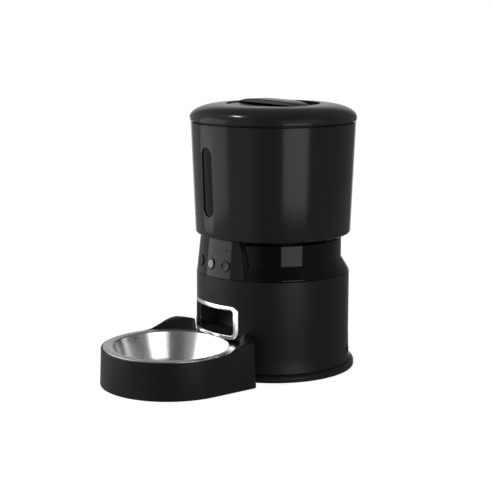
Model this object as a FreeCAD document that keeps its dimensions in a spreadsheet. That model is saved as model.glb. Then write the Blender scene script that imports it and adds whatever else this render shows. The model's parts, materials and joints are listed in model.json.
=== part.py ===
import FreeCAD, Part
import math
import os
import re
import Sketcher
from fcgear import fcgear, involute
from FreeCAD import Placement, Rotation, Vector

# Automatic pet feeder: a round barrel base with a drive unit, a food hopper with a lid on top,
# and a tray with a steel bowl that slides into a pocket in the base's foot.
#
# Frame: millimetres, +Z up, front towards -Y. The origin is the centre of the footprint, on the
# surface that the feeder stands on. The barrel's axis and the bowl's axis are both vertical, in
# the plane X = 0. Every sub-part is drawn about one of these two axes, and its Placement moves it
# there.

os.makedirs("parts", exist_ok=True)
doc = FreeCAD.newDocument("pet_feeder")

# ---------------------------------------------------------------------------------------------
# Driving dimensions
# ---------------------------------------------------------------------------------------------
DRIVING = (
    ("barrel_radius", 88.9, "base barrel, outside radius"),
    ("barrel_top", 114.0, "top edge of the base barrel"),
    ("wall", 2.5, "wall of the moulded shells"),
    ("foot_radius", 95.5, "foot ring, outside radius"),
    ("foot_top", 9.2, "top of the foot ring"),
    ("neck_radius", 80.0, "neck under the hopper"),
    ("neck_low", 130.0, "bottom of the neck's straight wall"),
    ("neck_top", 153.5, "top deck of the neck"),
    ("socket_radius", 64.0, "round socket that the metering chamber drops into"),
    ("socket_floor", 126.0, "floor of that socket"),
    ("panel_low", 114.4, "control panel, lower edge"),
    ("panel_high", 157.2, "control panel, upper edge"),
    ("panel_low_radius", 89.4, "panel face, radius at its lower edge"),
    ("panel_high_radius", 84.7, "panel face, radius at its upper edge"),
    ("panel_low_half", 46.2, "panel, half width at its lower edge"),
    ("panel_high_half", 37.4, "panel, half width at its upper edge"),
    ("button_radius", 6.3, "push buttons"),
    ("button_level", 128.8, "height of the buttons' centres"),
    ("hopper_bottom", 157.8, "underside of the hopper"),
    ("hopper_top", 285.2, "rim of the hopper"),
    ("hopper_low_radius", 90.2, "hopper, outside radius at its underside"),
    ("hopper_top_radius", 95.3, "hopper, outside radius at its rim"),
    ("throat_radius", 59.6, "throat and metering chamber, inside radius"),
    ("window_half", 9.4, "level window, half width"),
    ("window_low", 182.0, "level window, lower end"),
    ("window_high", 260.4, "level window, upper end"),
    ("lid_radius", 96.4, "lid, outside radius"),
    ("lid_low", 286.8, "lower edge of the lid"),
    ("lid_top", 305.8, "flat top of the lid"),
    ("bar_rise", 4.2, "how far the lid's bar arches over the top"),
    ("slot_radius", 84.3, "arc of the finger slot in front of the bar"),
    ("slot_depth", 15.0, "how far the finger slot reaches in front of the bar"),
    ("dish_radius", 54.0, "finger dish in the lid"),
    ("handle_half", 12.0, "bar across the dish, half width"),
    ("bowl_offset", 143.1, "distance from the barrel's axis to the bowl's axis"),
    ("tray_radius", 79.5, "tray, outside radius"),
    ("tray_top", 42.0, "rim of the tray"),
    ("tray_low", 0.5, "underside of the tray above the floor"),
    ("cavity_radius", 68.5, "hollow in the tray"),
    ("bowl_radius", 75.7, "bowl flange, outside radius"),
    ("bowl_mouth", 66.0, "bowl, radius at its mouth"),
    ("bowl_base", 50.0, "bowl, radius of its flat bottom"),
    ("bowl_floor", 6.0, "underside of the bowl"),
    ("sheet_steel", 0.8, "thickness of the bowl"),
    ("pocket_gap", 0.9, "clearance between the tray and its pocket"),
    ("pocket_top", 45.8, "ceiling of the pocket"),
    ("mouth_half", 40.0, "mouth frame, half width"),
    ("mouth_low", 46.8, "mouth frame, lower edge"),
    ("mouth_high", 84.0, "mouth frame, upper edge"),
    ("frame_band", 3.8, "width of the frame's face"),
    ("chute_half", 35.5, "inside half width of the chute"),
    ("cell_radius", 16.6, "D cell"),
    ("cell_length", 61.5, "D cell"),
    ("cell_low", 16.0, "height of the cells' lower ends"),
    ("cell_pitch", 34.5, "spacing of the cells"),
    ("door_half", 54.0, "battery door, half width"),
    ("door_low", 14.0, "battery door, lower edge"),
    ("door_high", 80.0, "battery door, upper edge"),
    ("gear_low", 112.6, "underside of the gears"),
    ("gear_width", 6.0, "face width of the gears"),
    ("motor_offset", 30.25, "centre distance of the gear pair"),
    ("motor_radius", 12.2, "motor can"),
)
PINION_TEETH = 15
GEAR_TEETH = 45
GEAR_MODULE = 1.0
PRESSURE_ANGLE = 20.0
ROTOR_VANES = 8

sheet = doc.addObject("Spreadsheet::Sheet", "sizes")
size = {}
for row, (alias, value, meaning) in enumerate(DRIVING, start=1):
    sheet.set(f"A{row}", meaning)
    sheet.set(f"B{row}", str(value))
    sheet.setAlias(f"B{row}", alias)
    size[alias] = value
doc.recompute()

BARREL = "(bowl_offset + tray_radius - lid_radius) / 2"
BOWL = BARREL + " - bowl_offset"
FULL = 400.0                    # longer than any cut needs
INLET_ANGLE = 128.0             # power inlet, round from the front
INLET_LEVEL = 22.0
CROWN_RADIUS = 350.0            # arch of the lid's bar
FOOT_GAP_ANGLE = 43.0           # half the gap in the foot ring, where the tray comes in
SPEAKER_PLACE = Vector(52, 0, 0)
BOX_SCREWS = ((-44, 30), (26, 30), (-44, -19), (26, -19))
BASE_SCREW_ANGLES = (-75, 75, 150, -150)
BUTTON_ANGLES = {"left": -15.2, "centre": 0.0, "right": 15.2}
subparts = []


# ---------------------------------------------------------------------------------------------
# Helpers
# ---------------------------------------------------------------------------------------------
def formula(text):
    """Turns words such as barrel_radius into references to the sheet's cells."""
    return re.sub(r"[a-z_]+", lambda word: "sizes." + word[0] if word[0] in size else word[0], str(text))


def primitive(kind, name, **formulas):
    """A Part primitive whose sizes and place are bound to the sheet."""
    places = {"x": "Placement.Base.x", "y": "Placement.Base.y", "z": "Placement.Base.z"}
    thing = doc.addObject("Part::" + kind, name)
    for key, text in formulas.items():
        thing.setExpression(places.get(key, key), formula(text))
    return thing


def cylinder(name, radius, low, high, x=0, y=0):
    return primitive("Cylinder", name, Radius=radius, Height=f"({high}) - ({low})", x=x, y=y, z=low)


def cone(name, low_radius, high_radius, low, high):
    return primitive("Cone", name, Radius1=low_radius, Radius2=high_radius,
                     Height=f"({high}) - ({low})", z=low)


def block(name, x, y, z):
    """A box from three (low, high) pairs."""
    return primitive("Box", name, Length=f"({x[1]}) - ({x[0]})", Width=f"({y[1]}) - ({y[0]})",
                     Height=f"({z[1]}) - ({z[0]})", x=x[0], y=y[0], z=z[0])


def placed(thing, placement):
    """The same solid, moved as a whole."""
    moved = doc.addObject("Part::Compound", thing.Name + "_placed")
    moved.Links = [thing]
    moved.Placement = placement
    return moved


def joined(*things):
    fused = doc.addObject("Part::MultiFuse", things[0].Name + "_joined")
    fused.Shapes = list(things)
    return fused


def cut(base, *tools):
    result = doc.addObject("Part::Cut", base.Name + "_cut")
    result.Base = base
    result.Tool = tools[0] if len(tools) == 1 else joined(*tools)
    return result


def shared(first, second):
    result = doc.addObject("Part::Common", first.Name + "_common")
    result.Base = first
    result.Tool = second
    return result


def group(*things):
    """Separate solids that make one node."""
    result = doc.addObject("Part::Compound", things[0].Name + "_group")
    result.Links = list(things)
    return result


def node(label, thing, axis=BARREL):
    """Names a finished sub-part and puts it on the barrel's or the bowl's axis."""
    thing.Label = label
    thing.setExpression("Placement.Base.y", formula(axis))
    subparts.append(thing)
    return thing


def origin_plane(body, role):
    return next(feature for feature in body.Origin.OriginFeatures if feature.Role == role)


def outline(body, role, corners):
    """A closed sketch through corners, each a pair of expressions on the sheet."""
    sketch = body.newObject("Sketcher::SketchObject", body.Name + "_outline")
    sketch.AttachmentSupport = [(origin_plane(body, role), "")]
    sketch.MapMode = "FlatFace"
    count = len(corners)
    start = [Vector(100 * math.cos(math.tau * i / count), 100 * math.sin(math.tau * i / count), 0)
             for i in range(count)]
    for i in range(count):
        sketch.addGeometry(Part.LineSegment(start[i], start[(i + 1) % count]), False)
    rules = [Sketcher.Constraint("Coincident", i, 2, (i + 1) % count, 1) for i in range(count)]
    for i in range(count):
        rules.append(Sketcher.Constraint("DistanceX", -1, 1, i, 1, start[i].x))
        rules.append(Sketcher.Constraint("DistanceY", -1, 1, i, 1, start[i].y))
    sketch.addConstraint(rules)
    for i, corner in enumerate(corners):
        for side, text in enumerate(corner):
            sketch.setExpression(f"Constraints[{count + 2 * i + side}]", formula(text))
    return sketch


def turned_body(name, corners):
    """A solid of revolution about Z from (radius, height) corners."""
    body = doc.addObject("PartDesign::Body", name)
    sketch = outline(body, "XZ_Plane", corners)
    revolution = body.newObject("PartDesign::Revolution", name + "_turned")
    revolution.Profile = sketch
    revolution.ReferenceAxis = (sketch, ["V_Axis"])
    revolution.Angle = 360.0
    sketch.Visibility = False
    doc.recompute()
    return body


def padded_body(name, role, corners, length, centred=True):
    """A solid pushed out of one of the origin planes."""
    body = doc.addObject("PartDesign::Body", name)
    sketch = outline(body, role, corners)
    pad = body.newObject("PartDesign::Pad", name + "_pad")
    pad.Profile = sketch
    pad.setExpression("Length", formula(length))
    pad.Midplane = centred
    doc.recompute()
    return body


def rounded(body, radius, wanted):
    """Fillets the edges of a body that wanted(edge) picks."""
    names = [f"Edge{i}" for i, edge in enumerate(body.Shape.Edges, start=1) if wanted(edge)]
    last = body.Tip
    fillet = body.newObject("PartDesign::Fillet", body.Name + "_fillet")
    fillet.Base = (last, names)
    fillet.Radius = radius
    doc.recompute()
    return body


def circle_at(radius, level):
    """Picks the horizontal circular edge with this radius and height."""
    def wanted(edge):
        curve = edge.Curve
        return (isinstance(curve, Part.Circle) and abs(curve.Radius - radius) < 0.05
                and abs(curve.Center.z - level) < 0.05)
    return wanted


def around(radius, angle):
    """A point at this radius, at an angle from the front, positive towards +X."""
    turn = math.radians(angle)
    return Vector(radius * math.sin(turn), -radius * math.cos(turn), 0)


def inlet_place(radius):
    """Where the power inlet's axis crosses this radius; local Z points outwards."""
    return Placement(around(radius, INLET_ANGLE) + Vector(0, 0, INLET_LEVEL),
                     Rotation(Vector(0, 0, 1), around(1, INLET_ANGLE)))


# ---------------------------------------------------------------------------------------------
# Base: foot ring, barrel shell, bottom cover
# ---------------------------------------------------------------------------------------------
def tray_pocket(name, grow):
    return cylinder(name, f"tray_radius + pocket_gap + {grow}", -1, "pocket_top", y="-bowl_offset")


def make_base():
    foot = turned_body("foot_profile", (
        ("barrel_radius - wall", 1), ("foot_radius", 1),
        ("foot_radius", "foot_top"), ("barrel_radius - wall", "foot_top")))
    rounded(foot, 2.6, circle_at(size["foot_radius"], 1.0))
    rounded(foot, 4.6, circle_at(size["foot_radius"], size["foot_top"]))
    left, right = around(FULL, -FOOT_GAP_ANGLE), around(FULL, FOOT_GAP_ANGLE)
    wedge = padded_body("foot_gap", "XY_Plane", ((0, 0), (right.x, right.y), (left.x, left.y)), 60)
    node("foot_ring", cut(foot, wedge))

    barrel = turned_body("barrel_profile", (
        ("barrel_radius - wall", "foot_top + 0.4"), ("barrel_radius + 2.4", "foot_top + 0.4"),
        ("barrel_radius + 2.4", "foot_top + 1.6"), ("barrel_radius + 0.9", "foot_top + 5"),
        ("barrel_radius + 0.4", "foot_top + 18"), ("barrel_radius", "foot_top + 34"),
        ("barrel_radius", "barrel_top"), ("barrel_radius - wall", "barrel_top")))
    rounded(barrel, 0.8, circle_at(size["barrel_radius"], size["barrel_top"]))
    mouth = block("mouth_cut", ("-mouth_half + 1.6", "mouth_half - 1.6"), (-FULL, 0),
                  ("mouth_low + 1.6", "mouth_high - 1.6"))
    door = block("door_cut", ("-door_half - 0.4", "door_half + 0.4"), (0, FULL),
                 ("door_low - 0.4", "door_high + 0.4"))
    inlet_hole = placed(cylinder("inlet_drill", 5.2, 0, 40), inlet_place(70))
    node("base_shell", cut(barrel, tray_pocket("shell_pocket", 0), mouth, door, inlet_hole))

    cover = cylinder("cover_disc", "barrel_radius - wall - 0.3", 2, 4.5)
    ribs = [block(f"cover_rib_{i}", (x - 1, x + 1), (-10, 40), (4.4, 9)) for i, x in enumerate((-40, -4, 28))]
    grille = [cylinder(f"grille_{i}", 1.6, 0, 10, x=SPEAKER_PLACE.x + 9 * math.cos(turn),
                       y=SPEAKER_PLACE.y + 9 * math.sin(turn))
              for i, turn in enumerate(math.tau * k / 9 for k in range(9))]
    screw_places = [around(74, angle) for angle in BASE_SCREW_ANGLES]
    screw_holes = [cylinder(f"cover_hole_{i}", 1.7, 0, 10, x=place.x, y=place.y)
                   for i, place in enumerate(screw_places)]
    node("base_cover", cut(joined(cover, *ribs), tray_pocket("cover_pocket", 2.4), *grille, *screw_holes))

    screws = [joined(cylinder(f"base_screw_head_{i}", 3, 0.9, 2, x=place.x, y=place.y),
                     cylinder(f"base_screw_shank_{i}", 1.45, 1.9, 11, x=place.x, y=place.y))
              for i, place in enumerate(screw_places)]
    node("base_screws", group(*screws))

    feet = [cylinder(f"foot_pad_{i}", 6.5, 0, 2, x=place.x, y=place.y)
            for i, place in enumerate(around(79, angle) for angle in (-58, 58, 128, -128))]
    node("rubber_feet", group(*feet))

    wall = cut(cylinder("dock_outer", "tray_radius + pocket_gap + 2", 4.7, "pocket_top + 1.6", y="-bowl_offset"),
               cylinder("dock_inner", "tray_radius + pocket_gap", 0, "pocket_top", y="-bowl_offset"))
    node("tray_dock", shared(wall, cylinder("dock_bound", "barrel_radius - wall - 0.2", 0, 60)))


# ---------------------------------------------------------------------------------------------
# Mouth frame and food chute
# ---------------------------------------------------------------------------------------------
def make_mouth():
    ring = padded_body("frame_ring", "XZ_Plane", (
        ("-mouth_half", "mouth_low"), ("mouth_half", "mouth_low"),
        ("mouth_half", "mouth_high"), ("-mouth_half", "mouth_high")), 2 * FULL)
    rounded(ring, 6.5, lambda edge: edge.BoundBox.YLength > FULL)
    hole = padded_body("frame_hole", "XZ_Plane", (
        ("-mouth_half + frame_band", "mouth_low + frame_band - 0.6"),
        ("mouth_half - frame_band", "mouth_low + frame_band - 0.6"),
        ("mouth_half - frame_band", "mouth_high - frame_band"),
        ("-mouth_half + frame_band", "mouth_high - frame_band")), 2 * FULL)
    rounded(hole, 4.0, lambda edge: edge.BoundBox.YLength > FULL)
    sleeve_hole = placed(hole, Placement())
    band = cut(cylinder("band_outer", "barrel_radius + 1.8", "mouth_low - 2", "mouth_high + 2"),
               cylinder("band_inner", "barrel_radius + 0.05", 0, FULL),
               block("band_back", (-FULL, FULL), (-30, FULL), (0, FULL)))
    face = cut(shared(band, ring), hole)
    sleeve_outer = block("sleeve_outer", ("-mouth_half + 2", "mouth_half - 2"), (-FULL, -40),
                         ("mouth_low + 2", "mouth_high - 2"))
    depth = cut(cylinder("sleeve_bound", "barrel_radius + 0.5", 40, 90),
                cylinder("sleeve_back", "barrel_radius - wall - 3", 0, FULL))
    sleeve = cut(shared(sleeve_outer, depth), sleeve_hole)
    node("mouth_frame", joined(face, sleeve))

    side_profile = (
        (-83.6, "pocket_top + 1.9"), (-54, "pocket_top + 1.9"), (-24.6, 104), (-24.6, 122.8),
        (-64, 122.8), (-64, 104), (-80, 85), (-83.6, 85))
    inside_profile = (
        (-FULL, "pocket_top + 3.9"), (-55, "pocket_top + 3.9"), (-26.6, 104.6), (-26.6, 130),
        (-62, 130), (-62, 103.4), (-79, 83), (-FULL, 83))
    outer = padded_body("chute_outer", "YZ_Plane", side_profile, "2 * chute_half + 4")
    inner = padded_body("chute_inner", "YZ_Plane", inside_profile, "2 * chute_half")
    bound = cylinder("chute_bound", "barrel_radius - wall - 3.3", 0, FULL)
    node("chute", shared(cut(outer, inner), bound))

    eyes = []
    for i, side in enumerate((-1, 1)):
        eyes.append(block(f"sensor_{i}", (side * 40 - 2.2, side * 40 + 2.2), (-68, -60), (64, 74)))
    node("outlet_sensor", group(*eyes))


# ---------------------------------------------------------------------------------------------
# Neck, control panel, buttons and electronics
# ---------------------------------------------------------------------------------------------
def panel_tilt():
    """How far the panel's face leans back, in radians."""
    return math.atan2(size["panel_low_radius"] - size["panel_high_radius"],
                      size["panel_high"] - size["panel_low"])


def panel_radius(level):
    share = (level - size["panel_low"]) / (size["panel_high"] - size["panel_low"])
    return size["panel_low_radius"] + share * (size["panel_high_radius"] - size["panel_low_radius"])


def on_panel(angle, level, depth=0.0):
    """A placement on the panel's face whose local Z is the outward normal."""
    tilt = panel_tilt()
    out = around(1, angle)
    normal = Vector(out.x * math.cos(tilt), out.y * math.cos(tilt), math.sin(tilt))
    place = around(panel_radius(level), angle) + Vector(0, 0, level) + normal * depth
    return Placement(place, Rotation(Vector(0, 0, 1), normal))


def panel_wedge(name, inset):
    return padded_body(name, "XZ_Plane", (
        (f"-panel_low_half + {inset}", "panel_low"), (f"panel_low_half - {inset}", "panel_low"),
        (f"panel_high_half - {inset}", f"panel_high - {inset}"),
        (f"-panel_high_half + {inset}", f"panel_high - {inset}")), FULL, centred=False)


def make_neck():
    neck = turned_body("neck_profile", (
        ("barrel_radius - wall", "panel_low"), ("barrel_radius - 0.4", "panel_low"),
        ("barrel_radius - 0.4", "barrel_top + 2"), ("neck_radius", "neck_low"),
        ("neck_radius", "neck_top"), ("socket_radius", "neck_top"), ("socket_radius", "socket_floor"),
        (11, "socket_floor"), (11, "socket_floor - wall"),
        ("socket_radius + wall", "socket_floor - wall"), ("socket_radius + wall", "neck_top - wall"),
        ("neck_radius - wall", "neck_top - wall"), ("neck_radius - wall", "neck_low - 0.6"),
        ("barrel_radius - wall - 0.4", "barrel_top + 2")))
    rounded(neck, 1.2, circle_at(size["neck_radius"], size["neck_top"]))
    drop = block("drop_hole", (-28, 28), (-61, -28), (100, 130))
    behind_panel = cut(panel_wedge("panel_opening", -0.3), cylinder("opening_back", "neck_radius - 2.7", 0, FULL))
    node("neck_collar", cut(neck, drop, behind_panel))

    face = cone("panel_face", "panel_low_radius", "panel_high_radius", "panel_low", "panel_high")
    hollow = cone("panel_hollow", "panel_low_radius - 2.2", "panel_high_radius - 2.2",
                  "panel_low", "panel_high")
    plate = cut(shared(face, panel_wedge("panel_wedge", 0)), hollow)
    depth = cut(cone("panel_rim", "panel_low_radius - 1", "panel_high_radius - 1", "panel_low", "panel_high"),
                cylinder("rim_back", "neck_radius - 2.3", 0, FULL))
    rim = cut(shared(depth, panel_wedge("rim_wedge", 0)), panel_wedge("rim_inside", 2.2))
    holes = []
    for name, angle in BUTTON_ANGLES.items():
        drill = cylinder("button_drill_" + name, "button_radius + 0.35", 0, 20)
        holes.append(placed(drill, on_panel(angle, size["button_level"], -10)))
    sound_hole = placed(cylinder("sound_drill", 0.9, 0, 20), on_panel(15.6, 146.4, -10))
    node("control_panel", cut(joined(plate, rim), *holes, sound_hole))

    for name, angle in BUTTON_ANGLES.items():
        cap = doc.addObject("PartDesign::Body", "cap_" + name)
        sketch = outline(cap, "XZ_Plane", (
            (0, -6), (2, -6), (2, 0), ("button_radius", 0), ("button_radius", 3.2), (0, 3.2)))
        revolution = cap.newObject("PartDesign::Revolution", "cap_turned_" + name)
        revolution.Profile = sketch
        revolution.ReferenceAxis = (sketch, ["V_Axis"])
        revolution.Angle = 360.0
        doc.recompute()
        rounded(cap, 0.7, circle_at(size["button_radius"], 3.2))
        node("button_" + name, group(placed(cap, on_panel(angle, size["button_level"], -2.0))))

    board = block("button_pcb", (-32, 32), (-71.6, -70.2), (119.5, 148))
    node("button_board", group(board))
    switches = []
    for i, angle in enumerate(BUTTON_ANGLES.values()):
        x = 20 * i - 20 + (i - 1) * 1.2
        switches.append(block(f"switch_body_{i}", (x - 3, x + 3), (-75.2, -71.7), (125, 131)))
    node("button_switches", group(*switches))
    capsule = cylinder("mic_capsule", 3.0, 0, 3)
    node("microphone", group(placed(capsule, Placement(Vector(22.4, -71.8, 143.2),
                                                       Rotation(Vector(1, 0, 0), 90)))))

    node("main_board", group(block("main_pcb", (62, 63.6), (-34, 32), (34, 92))))
    parts_on_board = (
        block("chip_processor", (59.6, 61.9), (-12, 0), (60, 72)),
        block("chip_radio", (59.2, 61.9), (-30, -18), (70, 86)),
        block("chip_connector", (57, 61.9), (12, 28), (40, 46)),
        placed(cylinder("capacitor", 3.2, 0, 9),
               Placement(Vector(61.9, 8, 80), Rotation(Vector(0, 1, 0), -90))))
    node("board_components", group(*parts_on_board))

    cup = turned_body("speaker_profile", ((0, 4.7), (19, 4.7), (19, 7.2), (11, 14), (11, 19), (0, 19)))
    node("speaker", group(placed(cup, Placement(SPEAKER_PLACE, Rotation()))))

    jack_body = cut(cylinder("jack_body", 5.0, 0, 15), cylinder("jack_hole", 2.9, 4, 30))
    jack_pin = cylinder("jack_pin", 1.0, 3, 13.5)
    flange = cut(cylinder("jack_flange", 7.6, 0.5, 2.5), cylinder("jack_clear", 4.9, 0, 5))
    jack_all = joined(jack_body, jack_pin, flange)
    node("power_inlet", group(placed(jack_all, inlet_place(74.9))))


# ---------------------------------------------------------------------------------------------
# Batteries
# ---------------------------------------------------------------------------------------------
CELL_PLACES = ((-1, 57.0), (0, 64.0), (1, 57.0))


def make_battery_unit():
    skin = cut(cylinder("door_skin", "barrel_radius", "door_low", "door_high"),
               cylinder("door_hollow", "barrel_radius - 2.2", 0, FULL))
    door_bound = block("door_bound", ("-door_half", "door_half"), (0, FULL), ("door_low", "door_high"))
    latch = block("door_latch", (-9, 9), (85.6, 87.9), ("door_high - 9", "door_high - 1"))
    grip = [block(f"door_grip_{i}", (-12, 12), (89.2, 95), (66 + 3 * i, 67 + 3 * i)) for i in range(3)]
    node("battery_door", cut(joined(shared(skin, door_bound), latch), *grip))

    shell = cut(cylinder("box_round", "barrel_radius - 5", "cell_low - 4.6", "cell_low + cell_length + 3.2"),
                block("box_front", (-FULL, FULL), (-FULL, 36), (0, FULL)),
                block("box_left", (-FULL, "-cell_pitch - cell_radius - 2.4"), (-FULL, FULL), (0, FULL)),
                block("box_right", ("cell_pitch + cell_radius + 2.4", FULL), (-FULL, FULL), (0, FULL)))
    room = block("box_room", ("-cell_pitch - cell_radius - 0.4", "cell_pitch + cell_radius + 0.4"),
                 (38, FULL), ("cell_low - 2.6", "cell_low + cell_length + 1.4"))
    node("battery_box", cut(shell, room))

    cells, plates = [], []
    for i, (side, y) in enumerate(CELL_PLACES):
        x = f"{side} * cell_pitch"
        can = cylinder(f"cell_{i}", "cell_radius", "cell_low", "cell_low + cell_length - 1.5", x=x, y=y)
        tip = cylinder(f"cell_tip_{i}", 4.7, "cell_low + cell_length - 1.6", "cell_low + cell_length", x=x, y=y)
        cells.append(joined(can, tip))
        plates.append(cylinder(f"contact_top_{i}", 9, "cell_low + cell_length + 0.1",
                               "cell_low + cell_length + 0.9", x=x, y=y))
        plates.append(primitive("Cone", f"contact_spring_{i}", Radius1=8, Radius2=5, Height=2.2,
                                x=x, y=y, z="cell_low - 2.4"))
    node("batteries", group(*cells))
    node("battery_contacts", group(*plates))


# ---------------------------------------------------------------------------------------------
# Drive: motor, gear pair, housing
# ---------------------------------------------------------------------------------------------
def gear_wire(teeth):
    builder = fcgear.FCWireBuilder()
    involute.CreateExternalGear(builder, GEAR_MODULE, teeth, PRESSURE_ANGLE, False)
    return Part.Wire([curve.toShape() for curve in builder.wire])


def gear_feature(name, teeth, place):
    """An involute spur gear, which neither PartDesign nor the primitives draw."""
    blank = Part.Face(gear_wire(teeth)).extrude(Vector(0, 0, size["gear_width"]))
    feature = doc.addObject("Part::Feature", name)
    feature.Shape = blank
    feature.Placement = Placement(place, Rotation())
    return feature


def make_drive():
    low, width = size["gear_low"], size["gear_width"]
    motor_x = -size["motor_offset"]
    can = cylinder("motor_can", "motor_radius", 78, 108, x="-motor_offset")
    nose = cylinder("motor_nose", 4, 107.9, 109, x="-motor_offset")
    shaft = cylinder("motor_shaft", 1.0, 108.9, "gear_low + gear_width + 0.6", x="-motor_offset")
    node("motor", joined(can, nose, shaft))

    plate = block("gearbox_plate_blank", (-48, 30), (-23, 34), (109.4, 111.4))
    posts = [cylinder(f"gearbox_post_{i}", 3, 111.3, 119.4, x=x, y=y)
             for i, (x, y) in enumerate(BOX_SCREWS)]
    bores = [cylinder("plate_bore_motor", 1.6, 100, 130, x="-motor_offset"),
             cylinder("plate_bore_gear", 3.06, 100, 130)]
    bores += [cylinder(f"post_bore_{i}", 1.2, 105, 130, x=x, y=y)
              for i, (x, y) in enumerate(BOX_SCREWS)]
    node("gearbox_plate", cut(joined(plate, *posts), *bores))

    pinion = gear_feature("pinion_blank", PINION_TEETH, Vector(motor_x, 0, low))
    node("motor_pinion", cut(pinion, cylinder("pinion_bore", 1.04, 100, 130, x="-motor_offset")))

    wheel = gear_feature("wheel_blank", GEAR_TEETH, Vector(0, 0, low))
    dog = doc.addObject("PartDesign::Body", "dog")
    dog_sketch = outline(dog, "XY_Plane", [
        (f"{7 * math.cos(math.tau * k / 6):.4f}", f"{7 * math.sin(math.tau * k / 6):.4f}") for k in range(6)])
    dog_pad = dog.newObject("PartDesign::Pad", "dog_pad")
    dog_pad.Profile = dog_sketch
    dog_pad.Length = 18.0
    doc.recompute()
    raised = placed(dog, Placement(Vector(0, 0, low + width - 0.1), Rotation()))
    hub = cylinder("wheel_hub", 10, low + width - 0.1, low + width + 1.6)
    spindle = cylinder("wheel_spindle", 3.0, 105, low + 0.1)
    windows = [cylinder(f"wheel_window_{k}", 3.6, 100, 130, x=f"{15 * math.cos(math.tau * (k + 0.5) / 6):.4f}",
                        y=f"{15 * math.sin(math.tau * (k + 0.5) / 6):.4f}") for k in range(6)]
    node("drive_gear", cut(joined(wheel, hub, raised, spindle), *windows))

    lid = block("gearbox_cover_blank", (-48, 30), (-23, 34), (119.8, 121.6))
    cover_bores = [cylinder("cover_bore_gear", 10.5, 100, 130)]
    cover_bores += [cylinder(f"cover_screw_{i}", 1.6, 105, 130, x=x, y=y)
                    for i, (x, y) in enumerate(BOX_SCREWS)]
    node("gearbox_cover", cut(lid, *cover_bores))
    screws = [joined(cylinder(f"gear_screw_head_{i}", 2.4, 121.7, 123.2, x=x, y=y),
                     cylinder(f"gear_screw_shank_{i}", 1.1, 112, 121.8, x=x, y=y))
              for i, (x, y) in enumerate(BOX_SCREWS)]
    node("gearbox_screws", group(*screws))


# ---------------------------------------------------------------------------------------------
# Hopper, metering chamber and rotor
# ---------------------------------------------------------------------------------------------
def make_hopper():
    hopper = turned_body("hopper_profile", (
        ("throat_radius", "hopper_bottom"), ("hopper_low_radius", "hopper_bottom"),
        ("hopper_top_radius", "hopper_top"), ("hopper_top_radius - 2.6", "hopper_top"),
        ("hopper_low_radius - 1.4", "hopper_bottom + 34"), ("throat_radius", "hopper_bottom + 3")))
    rounded(hopper, 4.0, circle_at(size["hopper_low_radius"], size["hopper_bottom"]))
    relief = turned_body("hopper_relief_profile", (
        ("throat_radius + 3", "hopper_bottom - 5"), ("hopper_low_radius - 7", "hopper_bottom - 5"),
        ("hopper_low_radius - 4.2", "hopper_bottom + 26"), ("throat_radius + 3", "hopper_bottom + 2.4")))
    slot = window_solid("window_slot", 0)
    node("hopper", cut(hopper, relief, slot))

    share_low = "(hopper_top_radius - hopper_low_radius) / (hopper_top - hopper_bottom)"
    band = turned_body("window_band", (
        (f"hopper_low_radius - 2.7 + {share_low} * (170 - hopper_bottom)", 170),
        (f"hopper_low_radius - 1.2 + {share_low} * (170 - hopper_bottom)", 170),
        (f"hopper_low_radius - 1.2 + {share_low} * (270 - hopper_bottom)", 270),
        (f"hopper_low_radius - 2.7 + {share_low} * (270 - hopper_bottom)", 270)))
    node("hopper_window", shared(window_solid("window_pane", 0.1), band))

    chamber = turned_body("chamber_profile", (
        (10.5, "socket_floor + 0.4"), ("throat_radius + 2.2", "socket_floor + 0.4"),
        ("throat_radius + 2.2", "hopper_bottom - 0.1"), ("throat_radius", "hopper_bottom - 0.1"),
        ("throat_radius", "socket_floor + 2.6"), (10.5, "socket_floor + 2.6")))
    outlet = shared(cut(cylinder("outlet_outer", 56, 100, 140), cylinder("outlet_inner", 30, 90, 150)),
                    block("outlet_bound", (-25, 25), (-FULL, 0), (90, 150)))
    node("metering_chamber", cut(chamber, outlet))

    baffle = shared(cut(cylinder("baffle_outer", "throat_radius - 0.1", "hopper_bottom - 2.2", "hopper_bottom"),
                        cylinder("baffle_inner", 13, 100, 200)),
                    block("baffle_bound", (-34, 34), (-FULL, -8), (100, 200)))
    node("flow_baffle", baffle)


def window_solid(name, gap):
    """The rounded slot of the level window, pushed through the front wall."""
    pane = padded_body(name, "XZ_Plane", (
        (f"-window_half + {gap}", f"window_low + {gap}"), (f"window_half - {gap}", f"window_low + {gap}"),
        (f"window_half - {gap}", f"window_high - {gap}"), (f"-window_half + {gap}", f"window_high - {gap}")),
        120, centred=False)
    radius = size["window_half"] - gap - 0.05
    return rounded(pane, radius, lambda edge: edge.BoundBox.YLength > 100)


def make_rotor():
    floor, top = "socket_floor + 3", "hopper_bottom - 3"
    hub = cut(cylinder("rotor_hub", 12.5, floor, f"{top} + 1"),
              cylinder("rotor_socket", 7.3, 100, "socket_floor + 13"))
    node("metering_rotor", hub)
    vane = block("vane", (12.6, "throat_radius - 0.9"), (-1, 1), (floor, f"{top} - 0.4"))
    vanes = [placed(vane, Placement(Vector(), Rotation(Vector(0, 0, 1), 360 * (k + 0.5) / ROTOR_VANES)))
             for k in range(ROTOR_VANES)]
    node("rotor_vanes", group(*vanes))
    cap = turned_body("agitator_profile", (
        (0, "hopper_bottom - 1.9"), (11.5, "hopper_bottom - 1.9"), (9, "hopper_bottom + 5"),
        (4, "hopper_bottom + 12"), (0, "hopper_bottom + 13")))
    node("rotor_cap", cap)


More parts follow.
